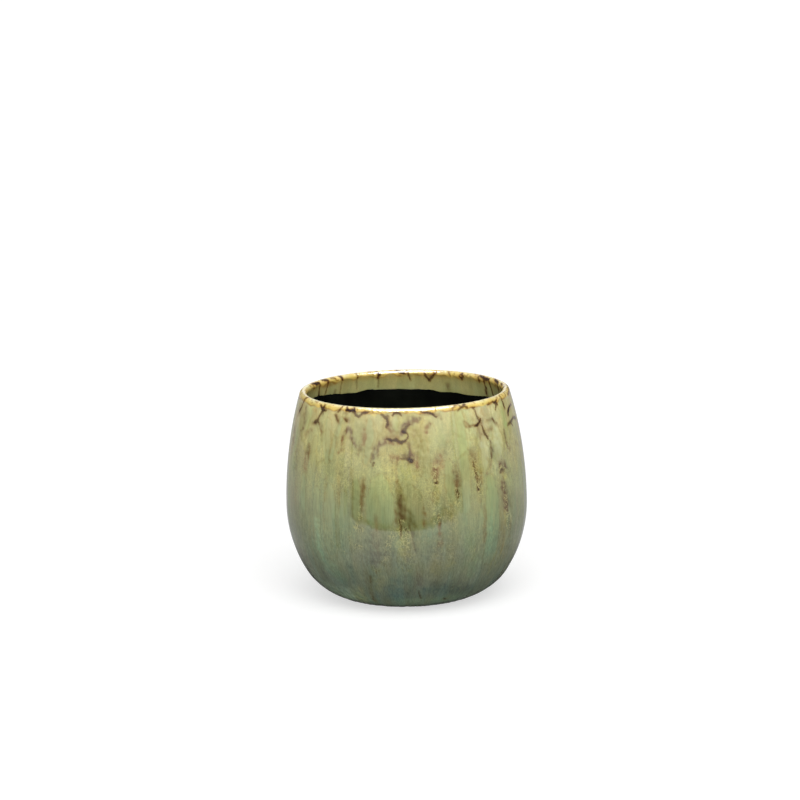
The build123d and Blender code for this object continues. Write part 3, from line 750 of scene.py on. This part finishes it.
# Nothing that runs in a glaze is straight, so all that is painted is pushed about by a millimetre or less.
level_radii = glaze_radii / MM
SHIFTED_WIDE = WIDE + np.degrees((0.20 * ripple(61, 9.0) + 0.13 * ripple(62, 3.5)) / level_radii)
SHIFTED_DEEP = DEEP + (0.25 * ripple(63, 9.0) + 0.13 * ripple(64, 3.5)) * np.clip(np.abs(DEEP) / 8, 0.25, 1)


def away(line):
    """Distance in mm of each point of the glaze from a line, less its half width, and that half width."""
    best, width = np.full(runs.shape, 99.0), np.ones(runs.shape)
    downs = [point[1] for point in line]
    reach = 4 + 3 * max(point[2] for point in line)
    rows = ((DEEP.max(axis=1) > min(downs) - reach) & (DEEP.min(axis=1) < max(downs) + reach)).nonzero()[0]
    per_degree = math.radians(1) * level_radii[rows]
    for (around, down, half), (next_around, next_down, next_half) in zip(line, line[1:]):
        across = ((SHIFTED_WIDE[rows] - around + 180) % 360 - 180) * per_degree
        along = SHIFTED_DEEP[rows] - down
        step_across, step_along = (next_around - around) * per_degree, next_down - down
        share = np.clip(
            (across * step_across + along * step_along) / (step_across**2 + step_along**2 + 1e-9), 0, 1
        )
        half_here = half + share * (next_half - half)
        gap = np.hypot(across - share * step_across, along - share * step_along) - half_here
        closer = gap < best[rows]
        best[rows] = np.where(closer, gap, best[rows])
        width[rows] = np.where(closer, half_here, width[rows])
    return best, width


def brushed(line, inset):
    """How much of a soft brush stroke along a line is on each point, fading from inset half widths in."""
    gap, width = away(line)
    return bell(np.clip(gap / width + inset, 0, 9), 1)


def ground(stops):
    places, colours = zip(*stops)
    colours = linear(colours)
    depth = np.abs(DEEP)
    return np.stack([np.interp(depth, places, colours[:, band]) for band in range(3)], axis=-1)


wash = np.where((DEEP > 0)[..., None], ground(GROUND), ground(COLLAR_GROUND))
patchy = np.clip(0.85 + 0.25 * ripple(65, 4.0), 0.3, 1.2)


def lay(paint, cover):
    """Covers the wash with a paint, or multiplies it by a tint, as much as the cover says."""
    cover = np.clip(cover, 0, 1)[..., None]
    if max(paint) < 3:
        wash[:] *= 1 + cover * (np.array(paint) - 1)
    else:
        wash[:] += cover * (linear(paint) - wash)


strokes = [(tint, 1.0, *line) for tint, *line in WASHES]
for paint, *uprights in [((light,) * 3, (1.0, *upright)) for light, *upright in SHADES] + list(STREAKS):
    for strength, around, top, foot, half in uprights:
        strokes.append((paint, strength, (around, top, half), (around, foot, half)))
for paint, strength, *line in strokes + list(PATCHES):
    for copy in both(line):
        lay(paint, strength * patchy * brushed(copy, 0.6))

BROWN_RIM = (0.80, 0.69, 0.56)
calm = np.zeros(runs.shape)
for tint, *line in TONGUES:
    for copy in both(line):
        gap = away(copy)[0]
        calm = np.maximum(calm, np.clip(0.5 - gap / 1.5, 0, 1))
        lay(tint, 0.5 - gap / 0.9)
        lay(BROWN_RIM, 0.5 * patchy * bell(gap - 0.35, 0.45))

# The honey-coloured lip reaches these mm down the outside and the inside, with a soft amber edge.
HONEY_OUT, HONEY_IN, SOFTNESS = 4.2, 4.6, 0.8
lip_out = HONEY_OUT + wave(21, 10, 60, 0.35) + 0.3 * bell(np.abs(turns) - 56, 16)
lip_in = -(HONEY_IN + wave(22, 10, 60, 0.5))
on_lip = np.clip((lip_out - DEEP) / SOFTNESS, 0, 1) * np.clip((DEEP - lip_in) / SOFTNESS, 0, 1)
thin = bell(DEEP, 2.4) * (0.75 + wave(23, 5, 30, 0.2))
honey = linear(HONEY) + thin[..., None] * (linear(STRAW) - linear(HONEY))
wash += on_lip[..., None] * (honey - wash)
lip_edges = bell(lip_out - 0.3 - DEEP, 0.45) + bell(DEEP - lip_in - 0.3, 0.5)
spotted = on_lip * np.clip(0.8 * ripple(66, 3.2) - 0.75, 0, 0.6)
lay(AMBER, np.clip(0.6 * lip_edges * (0.7 + wave(24, 10, 50, 0.4)).clip(0, 1.1) + spotted, 0, 0.8))

# Spread wider, the long dashes at the right edge would be too heavy on the far side, so they stay single.
RIGHT_EDGE, FARTHEST = (66, 90), 4.0
vein, iron, nearness = np.full(runs.shape, FARTHEST), np.zeros(runs.shape), np.full(runs.shape, 1e-9)
for darkness, *line in VEINS:
    for copy in [line] if RIGHT_EDGE[0] < line[-1][0] < RIGHT_EDGE[1] else both(line):
        gap = away(copy)[0]
        weight = np.exp(-4 * np.minimum(gap, FARTHEST))
        vein, iron, nearness = np.minimum(vein, gap), iron + weight * darkness, nearness + weight
iron /= nearness
crystal = 0.18 * np.clip((DEEP - 62) / 12, 0, 1)
for strength, *line in CRYSTALS:
    for copy in both(line):
        crystal = np.maximum(crystal, strength * brushed(copy, 0.5))


def stored(name, out="Fac"):
    """A value painted on the mesh's points."""
    return add("Attribute", {"attribute_name": name}, out=out)


def times(first, *others):
    for other in others:
        first = maths("MULTIPLY", first, other)
    return first


def tinted(colour, tint, share=1.0):
    return mixed(share, colour, tint, "MULTIPLY")


def runny(place, wide, long, detail):
    """Noise drawn out along the flow."""
    return noise(stretched(place, wide, wide, long), 1.0, detail)


glaze_finish, shader = finish_of("reactive_glaze")
flow = stored("flow", "Vector")
vein_gap, iron_here, crystals = stored("vein"), stored("iron"), stored("crystal")
unrest = maths("MULTIPLY_ADD", stored("calm"), -0.75, 1.0)
down = add("SeparateXYZ", {}, {"Vector": flow}, out="Z")
lower = ranged(down, 25.0, 75.0)

fine_fibre = runny(flow, 1.3, 0.14, 3)
broad_run = runny(flow, 0.16, 0.018, 4)
cloud = runny(flow, 0.20, 0.10, 4)
grain = noise(flow, 1.6)
warp = noise(flow, 0.35, out="Color")
warped = add("VectorMath", {"operation": "MULTIPLY_ADD"}, {0: warp, 1: (2.4, 2.4, 3.4), 2: flow})

# Green and brown pull apart in soft runs everywhere, and in long ones lower down, under fine streaks.
pulls = mixed(ranged(runny(flow, 0.12, 0.05, 1), 0.36, 0.64), (0.97, 1.01, 1.01), (1.02, 0.99, 0.96))
colour = tinted(stored("wash", "Color"), pulls)

# Tongues: the glaze has come down in soft upright tongues, each a little paler or more olive than the next.
cells = {"Vector": stretched(flow, 0.15, 0.15, 0.045), "Scale": 1.0, "Smoothness": 0.4}
tongues = add("TexVoronoi", {"feature": "SMOOTH_F1"}, cells, out="Color")
tongue = add("SeparateColor", {}, {"Color": tongues})
colour = tinted(colour, mixed(ranged(tongue, 0.15, 0.85), (0.94, 0.94, 0.91), (1.05, 1.05, 1.05)))
colour = tinted(colour, (0.94, 1.0, 1.03), times(ranged(broad_run, 0.50, 0.60), lower))
colour = tinted(colour, (1.0, 0.97, 0.94), times(ranged(broad_run, 0.46, 0.38), lower))
colour = tinted(colour, ranged(cloud, 0.3, 0.7, 0.95, 1.05))
streaked = times(ranged(down, 90.0, 112.0, 0.35, 0.15), ranged(down, 8.0, 45.0, 0.3, 1.0))
colour = tinted(colour, ranged(fine_fibre, 0.25, 0.75, 0.74, 1.26), streaked)

# Sand, specks and dabs: the crystals in the glaze make it finely mottled, most of all low down.
sandy = times(ranged(down, 14.0, 34.0, 0.4, 1.0), unrest)
sand = mixed(ranged(runny(flow, 1.5, 1.1, 2), 0.3, 0.7), (0.87, 0.87, 0.90), (1.13, 1.13, 1.10))
colour = tinted(colour, sand, times(sandy, ranged(down, 50.0, 66.0, 1.0, 0.45)))
specks = ranged(runny(flow, 1.7, 0.4, 2), 0.3, 0.7, 0.85, 1.15)
colour = tinted(colour, specks, ranged(down, 62.0, 84.0))
dabs = mixed(ranged(runny(warped, 0.30, 0.26, 3), 0.36, 0.64), (0.94, 0.945, 0.96), (1.06, 1.055, 1.03))
colour = tinted(colour, dabs, times(sandy, ranged(down, 46.0, 62.0, 1.0, 0.45)))

# Cells: in the upper half the glaze parts into pale lobes, with a thin brown line of iron between them.
cells = {"Vector": stretched(warped, 0.105, 0.105, 0.06), "Scale": 1.0, "Randomness": 0.95}
lobes = add("TexVoronoi", {"feature": "DISTANCE_TO_EDGE"}, cells, out="Distance")
near_top = times(ranged(down, 52.0, 30.0), ranged(down, 3.0, 8.0))
parting = times(ranged(lobes, 0.10, 0.0), ranged(cloud, 0.42, 0.58, 0.1, 1.0), near_top)
colour = tinted(colour, (0.78, 0.68, 0.56), times(parting, 0.55))

# Iron: a soft brown stain about each vein, and its darker middle.
ragged = maths("MULTIPLY_ADD", maths("SUBTRACT", grain, 0.5), 1.3, vein_gap)
blush = times(ranged(vein_gap, 2.0, 0.0), iron_here, 0.6)
halo = times(ranged(ragged, 0.9, -0.1), maths("MULTIPLY_ADD", iron_here, 0.75, 0.25))
core = times(ranged(ragged, 0.45, -0.40), maths("MULTIPLY_ADD", iron_here, 0.95, 0.08))
colour = tinted(colour, (0.86, 0.76, 0.64), blush)
colour = tinted(colour, (0.54, 0.36, 0.24), halo)
colour = mixed(core, colour, linear((56, 38, 32)))

# Lace: fine pale gold crystals in curled threads, over darker glaze.
curl = maths("ABSOLUTE", maths("SUBTRACT", runny(warped, 0.62, 0.42, 2), 0.5))
broken = ranged(noise(flow, 0.5, 2), 0.36, 0.50)
lace = times(ranged(curl, 0.05, 0.015), broken, crystals)
gilt = mixed(ranged(down, 55.0, 108.0), linear((208, 200, 130)), linear((134, 136, 90)))
colour = tinted(colour, (0.70, 0.62, 0.50), times(ranged(curl, 0.04, 0.11), crystals, 0.45))
colour = mixed(times(lace, 0.75), colour, gilt)
feed(shader["Base Color"], colour)
feed(shader["Roughness"], ranged(grain, 0.3, 0.7, 0.015, 0.04))
shader["IOR"].default_value = 1.6
height = maths("ADD", times(fine_fibre, 0.2), times(core, -0.3))
height = maths("ADD", height, times(lace, 0.4))
on_the_lip = ranged(maths("ABSOLUTE", down), 6.0, 3.0)
height = maths("ADD", height, times(runny(flow, 0.45, 0.35, 2), on_the_lip, 14.0))
feed(shader["Normal"], bump(height, 0.15, 0.00015))

reactive_glaze = turned(
    "reactive_glaze_coat",
    np.concatenate([glaze_radii, under_radii]), np.concatenate([glaze_heights, under_heights]),
    glaze_finish,
)
flat = BELLY_R / MM
flow_points = np.stack([flat * np.sin(np.radians(WIDE)), flat * np.cos(np.radians(WIDE)), DEEP], axis=-1)
for name, kind, field, values in (
    ("wash", "FLOAT_COLOR", "color", np.concatenate([wash, np.ones((*runs.shape, 1))], axis=-1)),
    ("flow", "FLOAT_VECTOR", "vector", flow_points),
    ("vein", "FLOAT", "value", vein), ("iron", "FLOAT", "value", iron),
    ("crystal", "FLOAT", "value", crystal), ("calm", "FLOAT", "value", calm),
):
    # The hidden face against the clay takes the values of the last row in sight.
    values = np.concatenate([values, np.repeat(values[-1:], len(under), axis=0)])
    layer = reactive_glaze.data.attributes.new(name, kind, "POINT")
    layer.data.foreach_set(field, values.astype(np.float32).ravel())
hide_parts("reactive_glaze")

# Black lining. A glossy black glaze poured in, swilled round and tipped out, so that it coats the whole
# inside up to the reactive glaze, which runs over its edge.
LINING = 0.4 * MM
lining_rows = np.concatenate([np.linspace(0, 0.08, 16, endpoint=False), np.linspace(0.08, 1, 84)])
tucked = collar_run + 2.0 * MM
lining_runs = tucked - lining_rows[:, None] * (run_of(INSIDE) + tucked)
past_edge = (tucked - lining_runs) / MM
swill = 1 + 0.12 * wave(31, 4, 30, 1.0) * np.exp(-past_edge / 25)
lining_radii, lining_heights = on_wall(lining_runs, LINING * swill)
back_runs = lining_runs[::-4][1:-1]
back_radii, back_heights = on_wall(back_runs, np.full(back_runs.shape, SEAT))
floor_shares = np.append(np.linspace(1, 0.006, 13)[1:], 0.003)
floor_radii = floor_shares[:, None] * np.full((1, COLUMNS), lining_radii[-1].mean())
floor_tops = np.full(floor_radii.shape, FOOT_Z + FLOOR + LINING)
floor_backs = np.full(floor_radii.shape, FOOT_Z + FLOOR + SEAT)

black_finish, shader = finish_of("black_lining")
place = add("TexCoord", out="Object")
swirl = noise(stretched(place, 1, 1, 0.4), 60, 4)
pinhole = add("TexVoronoi", {}, {"Vector": place, "Scale": 260}, out="Distance")
feed(shader["Base Color"], mixed(ranged(swirl, 0.35, 0.7), linear((16, 17, 15)), linear((30, 33, 27))))
feed(shader["Roughness"], ranged(swirl, 0.3, 0.7, 0.06, 0.14))
pitted = maths("SUBTRACT", swirl, ranged(pinhole, 0.03, 0.07, 0.4, 0.0))
feed(shader["Normal"], bump(pitted, 0.25, 0.0003))
black_lining = turned(
    "black_lining_coat",
    np.concatenate([lining_radii, floor_radii, floor_radii[::-1], back_radii]),
    np.concatenate([lining_heights, floor_tops, floor_backs, back_heights]),
    black_finish,
)
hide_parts("black_lining")

# Felt dots. Four punched discs of pressed wool felt with a sticky back, pressed on the standing ring after
# firing, so that the clay doesn't scratch a table.
felt_finish, shader = finish_of("felt")
place = add("TexCoord", out="Object")
nap = noise(place, 1500, 6, 0.7)
strand = noise(stretched(place, 1, 6, 2), 700, 4)
wool = mixed(ranged(nap, 0.35, 0.65), linear((42, 41, 40)), linear((78, 76, 73)))
wool = mixed(ranged(strand, 0.62, 0.72, 0.0, 0.4), wool, linear((120, 117, 112)))
feed(shader["Base Color"], wool)
shader["Roughness"].default_value = 0.95
shader["Sheen Weight"].default_value = 0.4
feed(shader["Normal"], bump(nap, 0.8, 0.0003))


def bands(rows, columns):
    """Faces between rows of points that close round, from one row to the next."""
    steps = [(step, (step + 1) % columns) for step in range(columns)]
    return [
        (row * columns + near, row * columns + far, (row + 1) * columns + far, (row + 1) * columns + near)
        for row in range(rows - 1) for near, far in steps
    ]


# Half the section of a dot, from under its middle round its edge: shares of its radius and thickness.
DOT_SECTION = (
    (0.05, 0.0), (0.35, 0.0), (0.65, 0.0), (0.86, 0.0), (0.955, 0.03), (0.99, 0.12), (1.0, 0.3), (1.0, 0.5),
    (1.0, 0.7), (0.985, 0.88), (0.95, 0.97), (0.86, 1.0), (0.6, 1.0), (0.3, 1.0), (0.05, 1.0),
)
SPOKES = 96
spokes = np.linspace(0, math.tau, SPOKES, endpoint=False)
for number in range(4):
    name = f"felt_dot_{number + 1}"
    low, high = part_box(name)
    centre, radius, thick = (low + high) / 2, (high.x - low.x) / 2, high.z - low.z
    fray = wave(40 + number, 8, 40, 0.012, np.degrees(spokes))
    points = []
    for reach, share in DOT_SECTION:
        out = radius * reach * (1 + fray * reach - 0.012)
        tuft = 0.015 * MM * np.sin(7 * spokes + 9 * reach) * (share > 0.9)
        across, aside = centre.x + out * np.cos(spokes), centre.y + out * np.sin(spokes)
        points += np.stack([across, aside, low.z + thick * share - np.abs(tuft)], axis=-1).tolist()
    under_face = tuple(range(SPOKES))[::-1]
    upper_face = tuple(range(len(points) - SPOKES, len(points)))
    faces = [*bands(len(DOT_SECTION), SPOKES), under_face, upper_face]
    dot = made_of(name + "_pad", points, faces, felt_finish)
    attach(dot, "root")
    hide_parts(name)

# Studio. A white table in a white surround, one high soft light in front, and cards that only reflections
# see: a bright one overhead, a dark one for the room behind the camera and dim ones for the sides.
WHITE = (1.0, 1.0, 1.0)
AMBIENT = 0.52


def in_sight():
    """1 where the camera looks straight, in a reflection or through glass, 0 for the light that falls."""
    seen = tree.nodes.new("ShaderNodeLightPath").outputs
    shows = maths("ADD", seen["Is Camera Ray"], seen["Is Glossy Ray"])
    return maths("MINIMUM", maths("ADD", shows, seen["Is Transmission Ray"]), 1.0)


world = bpy.data.worlds.new("studio")
bpy.context.scene.world = world
world.use_nodes = True
tree = world.node_tree
sky = tree.nodes["Background"].inputs
feed(sky["Color"], WHITE)
feed(sky["Strength"], ranged(in_sight(), 0.0, 1.0, AMBIENT, 1.0))

table_finish, shader = finish_of("table")
feed(shader["Base Color"], (0.5, 0.5, 0.5))
shader["Roughness"].default_value = 1.0
shader["Specular IOR Level"].default_value = 0.0
feed(shader["Emission Color"], WHITE)
feed(shader["Emission Strength"], times(in_sight(), 0.60))
bpy.ops.mesh.primitive_plane_add(size=30.0, location=(0, 0, 0))
table = bpy.context.object
table.name = "table"
table.data.materials.append(table_finish)

for name, energy, spread, tilted, swung in (("high_light", 1.3, 50, 32, 11), ("low_light", 0.9, 80, 76, 5)):
    lamp = bpy.data.lights.new(name, "SUN")
    lamp.energy, lamp.angle = energy, math.radians(spread)
    held = bpy.data.objects.new(name, lamp)
    bpy.context.scene.collection.objects.link(held)
    held.rotation_euler = (math.radians(tilted), 0, math.radians(swung))
    held.visible_glossy = False


def reflected_only(name, points, faces, light):
    """A card that only reflections see. Light gives its strength and how clear it is, at a place on it."""
    finish = finish_of(name)[0]
    tree.nodes.remove(tree.nodes["Principled BSDF"])
    strength, clear = light(add("TexCoord", out="Object"))
    glow = add("Emission", {}, {"Color": WHITE, "Strength": strength})
    fade = add("MixShader", {}, {0: clear, 1: glow, 2: add("BsdfTransparent")})
    feed(tree.nodes["Material Output"].inputs["Surface"], fade)
    held = made_of(name, points, faces, finish)
    held.visible_camera = held.visible_diffuse = held.visible_shadow = held.visible_transmission = False


DARK_TOP = 0.14


def dark_light(place):
    """The dark card fades out towards its top."""
    height = add("SeparateXYZ", {}, {"Vector": place}, out="Z")
    return 0.02, ranged(height, 0.4 * DARK_TOP, DARK_TOP + 0.0001)


def table_light(place):
    """The dim card on the table fades out towards the front, which stays white in reflections."""
    level = add("VectorMath", {"operation": "MULTIPLY"}, {0: place, 1: (1.0, 1.0, 0.0)})
    aim = add("VectorMath", {"operation": "NORMALIZE"}, {0: level})
    to_front = add("SeparateXYZ", {}, {"Vector": aim}, out="Y")
    how_far = add("VectorMath", {"operation": "LENGTH"}, {0: level}, out="Value")
    clear = times(ranged(to_front, -0.45, -0.97), ranged(how_far, 0.08, 0.12))
    return ranged(how_far, 0.06, 0.15, 0.04, 0.46), clear


def at_angle(angle, reach, z):
    return (reach * math.sin(angle), -reach * math.cos(angle), z)


reflected_only(
    "dark_card",
    [(-0.312, -0.2485, 0.0), (0.358, -0.297, 0.0), (0.358, -0.297, DARK_TOP), (-0.312, -0.2485, DARK_TOP)],
    [(0, 1, 2, 3)], dark_light,
)
SIDE_REACH, SIDE_TOP, SIDE_STEPS = 2.0, 1.6, 40
side_faces = [(step, step + 1, SIDE_STEPS + step + 1, SIDE_STEPS + step) for step in range(SIDE_STEPS - 1)]
for side, first, last, strength in (("right", 52, 172, 0.10), ("left", -172, -58, 0.13)):
    angles = np.radians(np.linspace(first, last, SIDE_STEPS))
    points = [at_angle(angle, SIDE_REACH, z) for z in (0.0, SIDE_TOP) for angle in angles]
    reflected_only("side_card_" + side, points, side_faces, lambda place: (strength, 0.0))
dim_angles = np.radians(np.arange(0, 360, 4))
dim_reaches = (0.002, 0.05, 0.12, 0.3, 1.0, 2.0)
reflected_only(
    "table_card", [at_angle(angle, reach, 0.0006) for reach in dim_reaches for angle in dim_angles],
    bands(len(dim_reaches), len(dim_angles)), table_light,
)
reflected_only(
    "softbox", [(-0.5, -0.95, 0.75), (0.6, -0.95, 0.75), (0.6, 0.1, 1.3), (-0.5, 0.1, 1.3)], [(0, 1, 2, 3)],
    lambda place: (24.0, 0.0),
)

# Camera. It stands 1.5 m away and looks a little down, and the pot sits below the middle of the picture and
# a little right of it.
ELEVATION, ROLL, DISTANCE, FOCAL = 13.27, -1.152, 1.5, 2485 / 800
AIM = Vector((0, 0, 0.063275))
PICTURE_RIGHT, PICTURE_DOWN = 6.4 / 800, 88.43 / 800
data = bpy.data.cameras.new("camera")
data.sensor_width, data.lens = 36.0, 36.0 * FOCAL
camera = bpy.data.objects.new("camera", data)
bpy.context.scene.collection.objects.link(camera)
tilt = math.radians(ELEVATION)
back = Vector((0, -math.cos(tilt), math.sin(tilt)))
turn = Matrix.Rotation(math.radians(90 - ELEVATION), 4, "X") @ Matrix.Rotation(math.radians(ROLL), 4, "Z")
turn = turn @ Matrix.Rotation(math.atan(PICTURE_RIGHT / FOCAL), 4, "Y")
turn = turn @ Matrix.Rotation(math.atan(PICTURE_DOWN / FOCAL), 4, "X")
camera.matrix_world = Matrix.Translation(AIM + back * DISTANCE) @ turn
bpy.context.scene.camera = camera
bpy.context.scene.view_settings.view_transform = "Standard"
